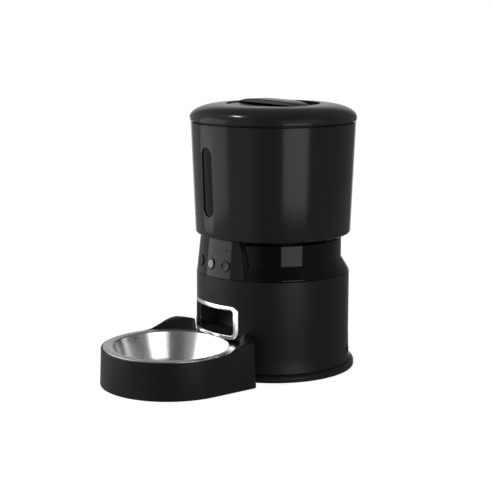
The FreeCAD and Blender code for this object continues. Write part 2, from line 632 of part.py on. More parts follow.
# ---------------------------------------------------------------------------------------------
# Lid
# ---------------------------------------------------------------------------------------------
def make_lid():
    shell = turned_body("lid_profile", (
        ("lid_radius - 3.4", "lid_low"), ("lid_radius - 1", "lid_low"), ("lid_radius", "lid_low + 1.2"),
        ("lid_radius - 0.1", "lid_low + 4"), ("lid_radius - 1.2", "lid_low + 6.8"),
        ("lid_radius - 3.6", "lid_low + 9.9"), ("lid_radius - 7", "lid_low + 12.4"),
        ("lid_radius - 12", "lid_low + 14.8"), ("lid_radius - 19", "lid_low + 16.8"),
        ("lid_radius - 27", "lid_low + 18"), ("lid_radius - 36", "lid_low + 18.5"), ("dish_radius", "lid_top"),
        (0, "lid_top"), (0, "lid_top - 14.4"), ("dish_radius + 1", "lid_top - 14.4"),
        ("lid_radius - 22", "lid_top - 5.5"), ("lid_radius - 9", "lid_top - 11"), ("lid_radius - 3.4", "lid_low + 3.2")))
    in_front = block("front_bound", (-FULL, FULL), (-FULL, "-handle_half"), ("lid_top - 30", "lid_top + 30"))
    behind = block("back_bound", (-FULL, FULL), ("handle_half", FULL), ("lid_top - 30", "lid_top + 30"))
    slot = shared(cylinder("finger_slot", "slot_radius", "lid_top - 11.8", "lid_top + 20",
                           y="slot_radius - handle_half - slot_depth"), in_front)
    shallow = shared(cylinder("shallow_dish", "dish_radius", "lid_top - 1.5", "lid_top + 20"), in_front)
    hold = shared(cylinder("hand_hold", "dish_radius", "lid_top - 11.8", "lid_top + 20"), behind)
    bar = block("handle_bar", ("-dish_radius", "dish_radius"), ("-handle_half", "handle_half"),
                ("lid_top - 12", "lid_top + bar_rise"))
    crown = placed(cylinder("handle_crown", CROWN_RADIUS, 0, 200),
                   Placement(Vector(0, 100, size["lid_top"] + size["bar_rise"] - CROWN_RADIUS),
                             Rotation(Vector(1, 0, 0), 90)))
    bar_shape = shared(shared(bar, crown), cylinder("bar_bound", "dish_radius - 0.4", 200, 400))
    node("lid_shell", joined(cut(shell, slot, shallow, hold), bar_shape))

    liner = turned_body("liner_profile", (
        ("hopper_top_radius - 6.4", "hopper_top - 12"), ("hopper_top_radius - 3.8", "hopper_top - 12"),
        ("hopper_top_radius - 3.8", "lid_low + 2.8"), ("hopper_top_radius - 6.4", "lid_low + 2.8")))
    groove = cut(cylinder("groove_outer", "hopper_top_radius", "hopper_top - 8.1", "hopper_top - 4.9"),
                 cylinder("groove_inner", "hopper_top_radius - 4.6", 200, 400))
    node("lid_liner", cut(liner, groove))
    seal = turned_body("seal_profile", (
        ("hopper_top_radius - 4.6", "hopper_top - 8"), ("hopper_top_radius - 3.2", "hopper_top - 8"),
        ("hopper_top_radius - 3.2", "hopper_top - 5"), ("hopper_top_radius - 4.6", "hopper_top - 5")))
    node("lid_seal", seal)

    cup = turned_body("desiccant_profile", (
        (28, "lid_top - 40"), (30, "lid_top - 40"), (30, "lid_top - 14.6"), (0, "lid_top - 14.6"),
        (0, "lid_top - 16.6"), (28, "lid_top - 16.6")))
    node("desiccant_box", cup)
    node("desiccant_bag", turned_body("bag_profile", (
        (0, "lid_top - 38"), (22, "lid_top - 38"), (26, "lid_top - 31"), (22, "lid_top - 22"),
        (0, "lid_top - 20"))))
    cap = turned_body("cap_profile", (
        (0, "lid_top - 42.6"), (32.4, "lid_top - 42.6"), (32.4, "lid_top - 36"), (30.4, "lid_top - 36"),
        (30.4, "lid_top - 40.4"), (0, "lid_top - 40.4")))
    vents = [cylinder(f"vent_{k}", 2.2, 200, 300, x=f"{15 * math.cos(math.tau * k / 8):.4f}",
                      y=f"{15 * math.sin(math.tau * k / 8):.4f}") for k in range(8)]
    node("desiccant_cap", cut(cap, *vents))


# ---------------------------------------------------------------------------------------------
# Tray and bowl, drawn about the bowl's axis
# ---------------------------------------------------------------------------------------------
def make_tray():
    front = cylinder("tray_round", "tray_radius", "tray_low", "tray_top")
    plan = padded_body("tray_plan", "XY_Plane", (
        ("-tray_radius", 0), ("tray_radius", 0), ("tray_radius", "bowl_offset - 88"),
        ("tray_radius - 2.4", "bowl_offset - 82.4"), ("tray_radius - 6.5", "bowl_offset - 79"),
        (59.8, "bowl_offset - 69.3"), (-59.8, "bowl_offset - 69.3"),
        ("-tray_radius + 6.5", "bowl_offset - 79"), ("-tray_radius + 2.4", "bowl_offset - 82.4"),
        ("-tray_radius", "bowl_offset - 88")), 200)
    side = padded_body("wing_side", "YZ_Plane", (
        (0, "tray_low"), ("bowl_offset - 68", "tray_low"), ("bowl_offset - 68", "tray_top + 4.4"),
        ("bowl_offset - 72", "tray_top + 8.6"), ("bowl_offset - 79", "tray_top + 12.4"),
        ("bowl_offset - 87", "tray_top + 14"), ("bowl_offset - 95", "tray_top + 12.9"),
        ("bowl_offset - 106", "tray_top + 8.6"), ("bowl_offset - 115", "tray_top + 3"),
        ("bowl_offset - 122", "tray_top"), (0, "tray_top")), 400)
    clear = (cylinder("wing_barrel", "barrel_radius + 1.2", 0, 100, y="bowl_offset"),
             cylinder("wing_flare", "barrel_radius + 3.2", 0, "foot_top + 6", y="bowl_offset"),
             cylinder("wing_bowl", "bowl_radius + 0.8", "tray_top", 100),
             block("wing_middle", (-43.5, 43.5), (0, FULL), ("tray_top", 100)))
    wings = cut(shared(side, plan), *clear)
    hollow = cylinder("tray_hollow", "cavity_radius", "tray_low + 2.5", 100)
    node("bowl_holder", cut(joined(front, wings), hollow), BOWL)

    thick = "sheet_steel"
    bowl = turned_body("bowl_profile", (
        ("bowl_radius", "tray_top"), ("bowl_radius", f"tray_top + {thick}"),
        ("bowl_mouth", f"tray_top + {thick}"), ("bowl_mouth - 1.2", "tray_top"),
        ("bowl_base + 2.6", f"bowl_floor + {thick} + 2"), ("bowl_base - 1.5", f"bowl_floor + {thick}"),
        (0, f"bowl_floor + {thick}"), (0, "bowl_floor"), ("bowl_base - 1.2", "bowl_floor"),
        ("bowl_base + 3.4", "bowl_floor + 2"), (f"bowl_mouth - 0.4", f"tray_top - {thick}"),
        ("bowl_mouth + 0.4", "tray_top")))
    node("steel_bowl", bowl, BOWL)
    pads = [cylinder(f"tray_pad_{i}", 5, 0, "tray_low", x=x, y=y)
            for i, (x, y) in enumerate(((-48, -44), (48, -44), (-48, 44), (48, 44)))]
    node("tray_pads", group(*pads), BOWL)


# ---------------------------------------------------------------------------------------------
# Build, check and write
# ---------------------------------------------------------------------------------------------
make_base()
make_mouth()
make_neck()
make_battery_unit()
make_drive()
make_hopper()
make_rotor()
make_lid()
make_tray()
doc.recompute()

failed = [thing.Name for thing in doc.Objects if "Invalid" in thing.State or "Error" in thing.State]
if failed:
    raise RuntimeError(f"failed objects: {failed}")
for thing in subparts:
    if thing.Shape.isNull() or not thing.Shape.isValid():
        raise RuntimeError(f"{thing.Label} has no valid shape")
    thing.Shape.exportStep(f"parts/{thing.Label}.step")
    box = thing.Shape.BoundBox
    print(f"{thing.Label:18} solids {len(thing.Shape.Solids)} volume {thing.Shape.Volume:10.0f}"
          f"  x {box.XMin:7.1f} {box.XMax:7.1f}  y {box.YMin:7.1f} {box.YMax:7.1f}"
          f"  z {box.ZMin:6.1f} {box.ZMax:6.1f}")
print(len(subparts), "sub-parts written")
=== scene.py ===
# %% [markdown]
# # Automatic pet feeder: looks
# A round food hopper stands on a base, with a polished neck and a control panel between them.
# Food drops through the outlet at the front into a steel bowl in its tray.
# Every visible shell is rebuilt here with rounded edges, and each piece rides on its body in the frame.

# %% Start
import json
import math

import bmesh
import bpy
from mathutils import Matrix, Vector


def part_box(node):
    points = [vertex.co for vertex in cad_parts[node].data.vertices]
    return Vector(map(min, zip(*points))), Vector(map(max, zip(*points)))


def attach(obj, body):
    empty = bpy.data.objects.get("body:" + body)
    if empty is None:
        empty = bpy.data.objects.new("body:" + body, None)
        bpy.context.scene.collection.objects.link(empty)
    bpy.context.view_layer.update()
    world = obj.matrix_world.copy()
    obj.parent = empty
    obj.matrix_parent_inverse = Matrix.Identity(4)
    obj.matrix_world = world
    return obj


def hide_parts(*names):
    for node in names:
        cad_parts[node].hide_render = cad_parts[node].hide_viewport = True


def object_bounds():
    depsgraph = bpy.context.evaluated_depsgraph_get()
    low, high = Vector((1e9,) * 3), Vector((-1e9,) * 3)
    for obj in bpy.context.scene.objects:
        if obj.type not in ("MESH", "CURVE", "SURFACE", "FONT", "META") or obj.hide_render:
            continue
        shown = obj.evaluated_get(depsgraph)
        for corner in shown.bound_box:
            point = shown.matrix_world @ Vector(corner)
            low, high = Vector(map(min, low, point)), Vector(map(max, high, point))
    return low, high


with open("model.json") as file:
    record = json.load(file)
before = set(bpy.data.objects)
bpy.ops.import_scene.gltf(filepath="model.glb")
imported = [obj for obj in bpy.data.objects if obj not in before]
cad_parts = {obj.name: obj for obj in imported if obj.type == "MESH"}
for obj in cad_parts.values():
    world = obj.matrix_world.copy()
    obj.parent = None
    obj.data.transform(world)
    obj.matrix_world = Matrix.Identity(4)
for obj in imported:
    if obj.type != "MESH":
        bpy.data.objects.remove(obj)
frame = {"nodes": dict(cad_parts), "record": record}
first_low, first_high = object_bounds()

# %% [markdown]
# ## Driving dimensions
# Shapes are drawn in millimetres about two upright axes: the barrel's and the bowl's.
# Both axes, and the main radii and levels, come from the frame. The rest is the styling of each piece.

# %% Sizes
MM = 0.001
STEPS = 256                     # facets round a turned piece
ROUND_STEPS = 6                 # facets on a rounded corner
REACH = 200.0                   # longer than any piece


def limits(node):
    """Lowest and highest corner of a node, in millimetres."""
    low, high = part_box(node)
    return low / MM, high / MM


hopper_low, hopper_high = limits("hopper")
shell_low, shell_high = limits("base_shell")
foot_low, foot_high = limits("foot_ring")
neck_low, neck_high = limits("neck_collar")
panel_low, panel_high = limits("control_panel")
lid_low, lid_high = limits("lid_shell")
mouth_low, mouth_high = limits("mouth_frame")
bowl_low, bowl_high = limits("steel_bowl")
tray_low, tray_high = limits("bowl_holder")

BARREL = Vector((0, (hopper_low.y + hopper_high.y) / 2, 0))
BOWL = Vector((0, (bowl_low.y + bowl_high.y) / 2, 0))
AXIS_GAP = BARREL.y - BOWL.y
WALL = 2.5

BASE_R = (neck_high.x - neck_low.x) / 2 + 0.4
BASE_TOP = shell_high.z
FOOT_R = foot_high.x
FOOT_TOP = foot_high.z
NECK_R = 80.0
NECK_TOP = neck_high.z
HOPPER_R = hopper_high.x
HOPPER_LOW_R = 90.2
HOPPER_LOW = hopper_low.z
HOPPER_TOP = hopper_high.z
THROAT_R = 59.6
LID_R = lid_high.x
LID_LOW = lid_low.z
LID_TOP = lid_high.z
DISH_R = 54.0
BAR_HALF = 12.0
BOWL_R = bowl_high.x
BOWL_RIM = bowl_high.z
TRAY_R = tray_high.x
TRAY_TOP = bowl_high.z - 0.8
TRAY_CAVITY_R = 68.5
PANEL_LOW, PANEL_HIGH = panel_low.z, panel_high.z
PANEL_LOW_R, PANEL_HIGH_R = 89.4, 84.7
PANEL_LOW_HALF, PANEL_HIGH_HALF = 46.2, 37.4
BUTTON_R = 6.3
BUTTON_LEVEL = 128.8
BUTTON_ANGLES = {"left": -15.2, "centre": 0.0, "right": 15.2}
MOUTH_HALF = mouth_high.x
overall = [round(v / MM, 1) for v in first_high - first_low]
print(f"barrel axis y {BARREL.y:.2f}, bowl axis y {BOWL.y:.2f}, overall {overall}")

# %% [markdown]
# ## Shaping helpers
# A turned piece is a profile spun about Z, and its corners are rounded on the profile before the spin.
# Openings are cut by solids made the same way.

# %% Helpers
scene = bpy.context.scene


def lathe(corners, steps=STEPS, start=0.0, sweep=360.0):
    """A solid turned about Z from (radius, height) or (radius, height, rounding) corners."""
    solid = bmesh.new()
    points = [solid.verts.new((corner[0], 0, corner[1])) for corner in corners]
    for first, second in zip(points, points[1:]):
        solid.edges.new((first, second))
    if corners[0][0] > 0 or corners[-1][0] > 0:
        solid.edges.new((points[-1], points[0]))
    for point, corner in zip(points, corners):
        if len(corner) > 2:
            bmesh.ops.bevel(solid, geom=[point], offset=corner[2], offset_type="OFFSET",
                            segments=ROUND_STEPS, profile=0.5, affect="VERTICES",
                            clamp_overlap=False, material=-1)
    first_turn = Matrix.Rotation(math.radians(start), 3, "Z")
    bmesh.ops.rotate(solid, verts=solid.verts, cent=(0, 0, 0), matrix=first_turn)
    bmesh.ops.spin(solid, geom=solid.verts[:] + solid.edges[:], cent=(0, 0, 0), axis=(0, 0, 1),
                   angle=math.radians(sweep), steps=steps, use_merge=sweep == 360, use_duplicate=False)
    bmesh.ops.remove_doubles(solid, verts=solid.verts, dist=0.0005)
    if sweep < 360:
        bmesh.ops.holes_fill(solid, edges=[edge for edge in solid.edges if edge.is_boundary], sides=0)
    bmesh.ops.recalc_face_normals(solid, faces=solid.faces)
    return solid


def round_edges(solid, chosen, width, segments=3):
    """Rounds the edges that chosen(edge) picks."""
    edges = [edge for edge in solid.edges if chosen(edge)]
    bmesh.ops.bevel(solid, geom=edges, offset=width, offset_type="OFFSET", segments=segments, profile=0.5,
                    affect="EDGES", clamp_overlap=True, material=-1)
    return solid


def along(axis):
    """Picks the edges that run along an axis: 0 is X, 1 is Y and 2 is Z."""
    def runs(edge):
        step = edge.verts[1].co - edge.verts[0].co
        return abs(step[axis]) > 0.99 * step.length
    return runs


def block(x, y, z, corner=0.0, axis=1):
    """A box whose edges along one axis are rounded."""
    solid = bmesh.new()
    bmesh.ops.create_cube(solid, size=1)
    bmesh.ops.scale(solid, verts=solid.verts, vec=(x[1] - x[0], y[1] - y[0], z[1] - z[0]))
    middle = ((x[0] + x[1]) / 2, (y[0] + y[1]) / 2, (z[0] + z[1]) / 2)
    bmesh.ops.translate(solid, verts=solid.verts, vec=middle)
    return round_edges(solid, along(axis), corner, ROUND_STEPS + 2) if corner else solid


def rod(radius, low, high, x=0.0, y=0.0, steps=96, top_radius=None):
    """An upright cylinder or cone."""
    solid = bmesh.new()
    bmesh.ops.create_cone(solid, cap_ends=True, segments=steps, radius1=radius,
                          radius2=radius if top_radius is None else top_radius, depth=high - low)
    bmesh.ops.translate(solid, verts=solid.verts, vec=(x, y, (low + high) / 2))
    return solid


def moved(solid, matrix):
    """The solid after a transform."""
    bmesh.ops.transform(solid, matrix=matrix, verts=solid.verts)
    return solid


def carve(solid, *cutters, operation="DIFFERENCE"):
    """The solid with each cutter taken away, added or kept in common."""
    for cutter in cutters:
        stand_ins = []
        for name, shape in (("solid", solid), ("cutter", cutter)):
            mesh = bpy.data.meshes.new(name)
            shape.to_mesh(mesh)
            shape.free()
            stand_ins.append(bpy.data.objects.new(name, mesh))
            scene.collection.objects.link(stand_ins[-1])
        boolean = stand_ins[0].modifiers.new("carve", "BOOLEAN")
        boolean.object, boolean.operation, boolean.solver = stand_ins[1], operation, "EXACT"
        result = stand_ins[0].evaluated_get(bpy.context.evaluated_depsgraph_get())
        solid = bmesh.new()
        solid.from_mesh(result.to_mesh())
        result.to_mesh_clear()
        for stand_in in stand_ins:
            mesh = stand_in.data
            bpy.data.objects.remove(stand_in)
            bpy.data.meshes.remove(mesh)
    return solid


def joined(*solids):
    """Several separate solids in one."""
    whole = bmesh.new()
    for solid in solids:
        mesh = bpy.data.meshes.new("part")
        solid.to_mesh(mesh)
        solid.free()
        whole.from_mesh(mesh)
        bpy.data.meshes.remove(mesh)
    return whole


def finish_piece(name, solid, finish, body, stands_for=(), centre=BARREL, crease=32.0):
    """Puts a solid in its place as an object with its finish, its body and the nodes that it stands for."""
    bmesh.ops.scale(solid, verts=solid.verts, vec=(MM, MM, MM))
    bmesh.ops.translate(solid, verts=solid.verts, vec=centre * MM)
    mesh = bpy.data.meshes.new(name)
    solid.to_mesh(mesh)
    solid.free()
    mesh.shade_smooth()
    mesh.set_sharp_from_angle(angle=math.radians(crease))
    mesh.materials.append(FINISHES[finish])
    piece = bpy.data.objects.new(name, mesh)
    scene.collection.objects.link(piece)
    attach(piece, body)
    if stands_for:
        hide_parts(*stands_for)
    print(f"{name}: {len(mesh.polygons)} faces")
    return piece


def around(radius, angle):
    """A point on a circle, in degrees from the front towards the right."""
    turn = math.radians(angle)
    return Vector((radius * math.sin(turn), -radius * math.cos(turn), 0))


# %% [markdown]
# ## Shared surface effects
# Moulded grain is the fine texture of a satin plastic.
# Brushing is the fine scratches that run round spun steel.
# Handling marks vary the roughness in broad soft patches, so that no surface is perfectly even.

# %% Node groups
def node_group(name, inputs, outputs):
    """An empty node group with named float inputs and outputs, and its two end nodes."""
    tree = bpy.data.node_groups.new(name, "ShaderNodeTree")
    for label, value in inputs.items():
        tree.interface.new_socket(label, in_out="INPUT", socket_type="NodeSocketFloat").default_value = value
    for label, kind in outputs.items():
        tree.interface.new_socket(label, in_out="OUTPUT", socket_type=kind)
    return tree, tree.nodes.new("NodeGroupInput"), tree.nodes.new("NodeGroupOutput")


def add(tree, kind, links=None, **settings):
    """Adds a node. Settings are its properties; links maps an input to a value or to another output."""
    made = tree.nodes.new(kind)
    for key, value in settings.items():
        setattr(made, key, value)
    for key, source in (links or {}).items():
        if isinstance(source, bpy.types.NodeSocket):
            tree.links.new(source, made.inputs[key])
        else:
            made.inputs[key].default_value = source
    return made


grain, ends_in, ends_out = node_group(
    "moulded_grain", {"Scale": 2600.0, "Depth": 0.1}, {"Normal": "NodeSocketVector"})
place = add(grain, "ShaderNodeTexCoord")
speckle = add(grain, "ShaderNodeTexNoise", {
    "Vector": place.outputs["Object"], "Scale": ends_in.outputs["Scale"], "Detail": 2.0, "Roughness": 0.6})
relief = add(grain, "ShaderNodeBump", {"Height": speckle.outputs["Fac"], "Strength": ends_in.outputs["Depth"],
                                       "Distance": 0.0004})
grain.links.new(relief.outputs["Normal"], ends_out.inputs["Normal"])

marks, ends_in, ends_out = node_group(
    "handling_marks", {"Scale": 26.0, "Even": 0.3, "Spread": 0.05}, {"Roughness": "NodeSocketFloat"})
place = add(marks, "ShaderNodeTexCoord")
patches = add(marks, "ShaderNodeTexNoise", {
    "Vector": place.outputs["Object"], "Scale": ends_in.outputs["Scale"], "Detail": 4.0, "Roughness": 0.55})
swing = add(marks, "ShaderNodeMath", {0: patches.outputs["Fac"], 1: 0.5}, operation="SUBTRACT")
scaled = add(marks, "ShaderNodeMath", {
    0: swing.outputs[0], 1: ends_in.outputs["Spread"], 2: ends_in.outputs["Even"]}, operation="MULTIPLY_ADD")
marks.links.new(scaled.outputs[0], ends_out.inputs["Roughness"])

brushing, ends_in, ends_out = node_group(
    "brushing", {"Lines": 900.0, "Depth": 0.06}, {"Normal": "NodeSocketVector", "Mask": "NodeSocketFloat"})
strip = add(brushing, "ShaderNodeUVMap", uv_map="around")
parts = add(brushing, "ShaderNodeSeparateXYZ", {"Vector": strip.outputs["UV"]})
turns = add(brushing, "ShaderNodeMath", {0: parts.outputs["X"], 1: 14.0}, operation="MULTIPLY")
rows = add(brushing, "ShaderNodeMath", {0: parts.outputs["Y"], 1: ends_in.outputs["Lines"]},
           operation="MULTIPLY")
drawn = add(brushing, "ShaderNodeCombineXYZ", {"X": turns.outputs[0], "Y": rows.outputs[0]})
scratch = add(brushing, "ShaderNodeTexNoise", {"Vector": drawn.outputs[0], "Scale": 1.0, "Detail": 3.0,
                                               "Roughness": 0.6})
relief = add(brushing, "ShaderNodeBump", {
    "Height": scratch.outputs["Fac"], "Strength": ends_in.outputs["Depth"], "Distance": 0.0002})
brushing.links.new(relief.outputs["Normal"], ends_out.inputs["Normal"])
brushing.links.new(scratch.outputs["Fac"], ends_out.inputs["Mask"])
print("node groups:", [group.name for group in bpy.data.node_groups])

# %% [markdown]
# ## Finishes
# One material for each material slot in the record, plus a few that only this scene needs.
# The plastics differ in colour, gloss and grain, and the metals in roughness and direction.

# %% Materials
FINISHES = {}


def finish(name, colour, roughness, spread=0.04, grain_depth=0.0, grain_scale=2600.0, metallic=0.0, **more):
    """A material with handling marks in its roughness and, if asked, moulded grain in its surface."""
    made = bpy.data.materials.new(name)
    made.use_nodes = True
    tree = made.node_tree
    tree.nodes.clear()
    shader = add(tree, "ShaderNodeBsdfPrincipled", {"Base Color": (*colour, 1), "Metallic": metallic})
    for key, value in more.items():
        shader.inputs[key.replace("_", " ")].default_value = value
    rub = add(tree, "ShaderNodeGroup", node_tree=marks)
    rub.inputs["Even"].default_value = roughness
    rub.inputs["Spread"].default_value = spread
    tree.links.new(rub.outputs["Roughness"], shader.inputs["Roughness"])
    if grain_depth:
        skin = add(tree, "ShaderNodeGroup", node_tree=grain)
        skin.inputs["Depth"].default_value = grain_depth
        skin.inputs["Scale"].default_value = grain_scale
        tree.links.new(skin.outputs["Normal"], shader.inputs["Normal"])
    add(tree, "ShaderNodeOutputMaterial", {"Surface": shader.outputs[0]})
    FINISHES[name] = made
    return tree, shader


finish("satin_black", (0.0160, 0.0160, 0.0164), 0.38, 0.03, grain_depth=0.10, IOR=1.34)
finish("hopper_black", (0.0230, 0.0230, 0.0235), 0.17, 0.02, grain_depth=0.02, IOR=1.37)
finish("gloss_black", (0.0022, 0.0022, 0.0024), 0.045, 0.012, IOR=1.37)
finish("panel_black", (0.0030, 0.0030, 0.0033), 0.085, 0.02, grain_depth=0.006, IOR=1.46)
finish("button_black", (0.0060, 0.0060, 0.0066), 0.12, 0.03)
finish("smoked_window", (0.004, 0.004, 0.0045), 0.10, 0.03, Specular_IOR_Level=0.06)
finish("chrome", (0.92, 0.92, 0.93), 0.20, 0.04, metallic=1.0)
finish("chute_grey", (0.045, 0.046, 0.048), 0.32, 0.05, grain_depth=0.08)
finish("rotor_grey", (0.14, 0.145, 0.15), 0.40, 0.05, grain_depth=0.10)
finish("gear_white", (0.72, 0.71, 0.67), 0.38, 0.05, grain_depth=0.06)
finish("rubber", (0.020, 0.020, 0.020), 0.72, 0.10, grain_depth=0.35, grain_scale=1500.0)
finish("silicone", (0.50, 0.50, 0.50), 0.45, 0.08, Subsurface_Weight=0.15)
finish("silicone_grey", (0.16, 0.17, 0.18), 0.50, 0.08)
finish("paper_bag", (0.72, 0.70, 0.64), 0.85, 0.05, grain_depth=0.5, grain_scale=700.0)
finish("board_green", (0.010, 0.085, 0.040), 0.35, 0.06, grain_depth=0.05)
finish("switch_black", (0.012, 0.012, 0.012), 0.42, 0.05)
finish("screw_steel", (0.45, 0.45, 0.46), 0.32, 0.08, metallic=1.0)
finish("motor_steel", (0.55, 0.55, 0.56), 0.30, 0.08, metallic=1.0)
finish("brass", (0.72, 0.52, 0.22), 0.28, 0.06, metallic=1.0)
finish("contact_nickel", (0.66, 0.64, 0.60), 0.24, 0.05, metallic=1.0)
finish("cell_jacket", (0.030, 0.060, 0.110), 0.26, 0.05)
finish("sign_grey", (0.055, 0.056, 0.058), 0.30, 0.04)

tree, shader = finish("stainless", (0.80, 0.80, 0.79), 0.27, 0.06, metallic=1.0, Anisotropic=0.74,
                      Anisotropic_Rotation=0.25)
strip = add(tree, "ShaderNodeTangent", direction_type="UV_MAP", uv_map="around")
tree.links.new(strip.outputs["Tangent"], shader.inputs["Tangent"])
lines = add(tree, "ShaderNodeGroup", node_tree=brushing)
tree.links.new(lines.outputs["Normal"], shader.inputs["Normal"])
ramp = add(tree, "ShaderNodeValToRGB", {"Fac": lines.outputs["Mask"]})
ramp.color_ramp.elements[0].position, ramp.color_ramp.elements[0].color = 0.3, (0.66, 0.66, 0.655, 1)
ramp.color_ramp.elements[1].position, ramp.color_ramp.elements[1].color = 0.7, (0.90, 0.90, 0.89, 1)
tree.links.new(ramp.outputs["Color"], shader.inputs["Base Color"])

finish("button_silver", (0.28, 0.28, 0.29), 0.26, 0.05, metallic=1.0, grain_depth=0.05)
for subpart in frame["record"]["subparts"]:
    node = frame["nodes"][subpart["node"]]
    node.data.materials.clear()
    node.data.materials.append(FINISHES[subpart["material_slot"]])
print(f"{len(FINISHES)} finishes")

# %% [markdown]
# ## Lid
# The shoulder is a quarter ellipse that meets a nearly flat top. An arched carrying bar crosses the top,
# with a finger slot in front of it and a deeper hand hold behind it.

# %% Lid
SHOULDER = 60.0                 # where the top's curve starts
CURVE_LOW = LID_LOW + 2.7
DECK = LID_TOP - 4.2            # level of the flat top
SLOT_DEPTH = 15.0               # how far the finger slot bulges in front of the bar
SLOT_HALF = 48.0
HOLD_FLOOR = DECK - 11.8
BAR_REACH = 53.0
curve_rise = DECK - 0.4 - CURVE_LOW
shoulder = [(SHOULDER + (LID_R - SHOULDER) * math.cos(turn), CURVE_LOW + curve_rise * math.sin(turn))
            for turn in (math.radians(90 * step / 28) for step in range(29))]
lid = lathe([(LID_R - 3.4, LID_LOW), (LID_R - 1, LID_LOW, 0.5), (LID_R, LID_LOW + 1.0, 0.4)] + shoulder + [
    (DISH_R, DECK - 0.2), (0, DECK), (0, DECK - 14.4), (DISH_R + 1, DECK - 14.4),
    (LID_R - 22, DECK - 5.5), (LID_R - 9, DECK - 11), (LID_R - 3.4, LID_LOW + 3.2)])


def sliced(solid, y, keep):
    """The part of a solid in front of a y value for keep -1, or behind it for keep 1."""
    bmesh.ops.bisect_plane(solid, geom=solid.verts[:] + solid.edges[:] + solid.faces[:], dist=0.001,
                           plane_co=(0, y, 0), plane_no=(0, -keep, 0), clear_outer=True)
    bmesh.ops.holes_fill(solid, edges=[edge for edge in solid.edges if edge.is_boundary], sides=0)
    bmesh.ops.recalc_face_normals(solid, faces=solid.faces)
    return solid


def recess(radius, centre_y, side, floor, corner, floor_round):
    """A recess beside the bar, bounded by the bar's side and an arc, with rounded corners and floor."""
    solid = sliced(rod(radius, floor, LID_TOP + 20, y=centre_y, steps=256), side * BAR_HALF, side)
    reach_x = math.sqrt(radius ** 2 - (side * BAR_HALF - centre_y) ** 2)
    round_edges(solid, lambda edge: along(2)(edge) and all(
        abs(abs(vert.co.x) - reach_x) < 0.1 for vert in edge.verts), corner, 8)
    return round_edges(solid, lambda edge: all(abs(vert.co.z - floor) < 0.01 for vert in edge.verts),
                       floor_round, 6)


def meets_deck(edge):
    """The edges where a recess meets the flat top."""
    return len(edge.link_faces) == 2 and edge.calc_face_angle() > 0.6 and all(
        vert.co.z > DECK - 2.2 and vert.co.xy.length < DISH_R + 0.6 for vert in edge.verts)


slot_radius = (SLOT_HALF ** 2 + SLOT_DEPTH ** 2) / (2 * SLOT_DEPTH)
front_slot = recess(slot_radius, slot_radius - BAR_HALF - SLOT_DEPTH, -1, HOLD_FLOOR, 2.0, 3.0)
back_hold = recess(DISH_R, 0, 1, HOLD_FLOOR, 5.0, 4.0)
shallow = recess(DISH_R, 0, -1, DECK - 1.5, 3.0, 1.0)
lid = carve(lid, shallow, front_slot, back_hold)
bmesh.ops.remove_doubles(lid, verts=lid.verts, dist=0.03)
round_edges(lid, meets_deck, 0.9, 3)
bar = block((-BAR_REACH, BAR_REACH), (-BAR_HALF, BAR_HALF), (HOLD_FLOOR - 1, DECK))
bmesh.ops.subdivide_edges(bar, edges=[edge for edge in bar.edges if along(0)(edge)], cuts=60)
for vert in bar.verts:
    if vert.co.z > DECK - 1:
        vert.co.z = DECK - 0.3 + (LID_TOP - DECK + 0.3) * (1 - (abs(vert.co.x) / BAR_REACH) ** 4)
round_edges(bar, lambda edge: not along(1)(edge) and all(
    vert.co.z > DECK - 1 and abs(vert.co.y) > BAR_HALF - 0.1 for vert in edge.verts), 1.4, 4)
lid_dome = finish_piece("lid_dome", lid, "hopper_black", "lid", ["lid_shell"])
lid_bar = finish_piece("lid_bar", bar, "hopper_black", "lid")

# %% [markdown]
# ## Hopper
# The hopper widens towards its top and has one tall rounded window at the front.

# %% Hopper
WINDOW_HALF = 9.4
WINDOW_LOW, WINDOW_HIGH = 182.0, 260.4
hopper = lathe([(THROAT_R, HOPPER_LOW), (HOPPER_LOW_R, HOPPER_LOW, 3.2), (HOPPER_R, HOPPER_TOP, 0.6),
                (HOPPER_R - 2.6, HOPPER_TOP, 0.6), (HOPPER_LOW_R - 1.4, HOPPER_LOW + 34),
                (THROAT_R, HOPPER_LOW + 3)])
opening = block((-WINDOW_HALF, WINDOW_HALF), (-REACH, -60), (WINDOW_LOW, WINDOW_HIGH),
                corner=WINDOW_HALF - 0.02)
hopper = carve(hopper, opening)


def window_rim(edge):
    """The edges where the window opening meets the outside."""
    return len(edge.link_faces) == 2 and edge.calc_face_angle() > 0.7 and all(
        abs(vert.co.x) < WINDOW_HALF + 0.3 and vert.co.y < -60
        and WINDOW_LOW - 1 < vert.co.z < WINDOW_HIGH + 1
        and vert.co.xy.length > HOPPER_LOW_R + 0.3 for vert in edge.verts)


bmesh.ops.remove_doubles(hopper, verts=hopper.verts, dist=0.03)
round_edges(hopper, window_rim, 0.7, 3)
finish_piece("hopper_wall", hopper, "hopper_black", "hopper", ["hopper"])

# %% [markdown]
# ## Neck and control panel
# The polished neck flares into the base. The panel is a thin tapered shield that leans back a little,
# with three round buttons, a microphone hole and a small paw sign.

# %% Neck
panel_lean = math.atan2(PANEL_LOW_R - PANEL_HIGH_R, PANEL_HIGH - PANEL_LOW)


def panel_shape(inset, depth):
    """The panel's tapered outline as a solid wedge, inset at its edges and sunk from its face."""
    face = lathe([(40, PANEL_LOW + inset), (PANEL_LOW_R - depth, PANEL_LOW + inset),
                  (PANEL_HIGH_R - depth, PANEL_HIGH - inset), (40, PANEL_HIGH - inset)],
                 steps=96, start=-140, sweep=100)
    outline = block((-1, 1), (-REACH, -40), (PANEL_LOW, PANEL_HIGH))
    for vert in outline.verts:
        half = PANEL_LOW_HALF if vert.co.z < (PANEL_LOW + PANEL_HIGH) / 2 else PANEL_HIGH_HALF
        vert.co.x *= half - inset
    return carve(face, outline, operation="INTERSECT")


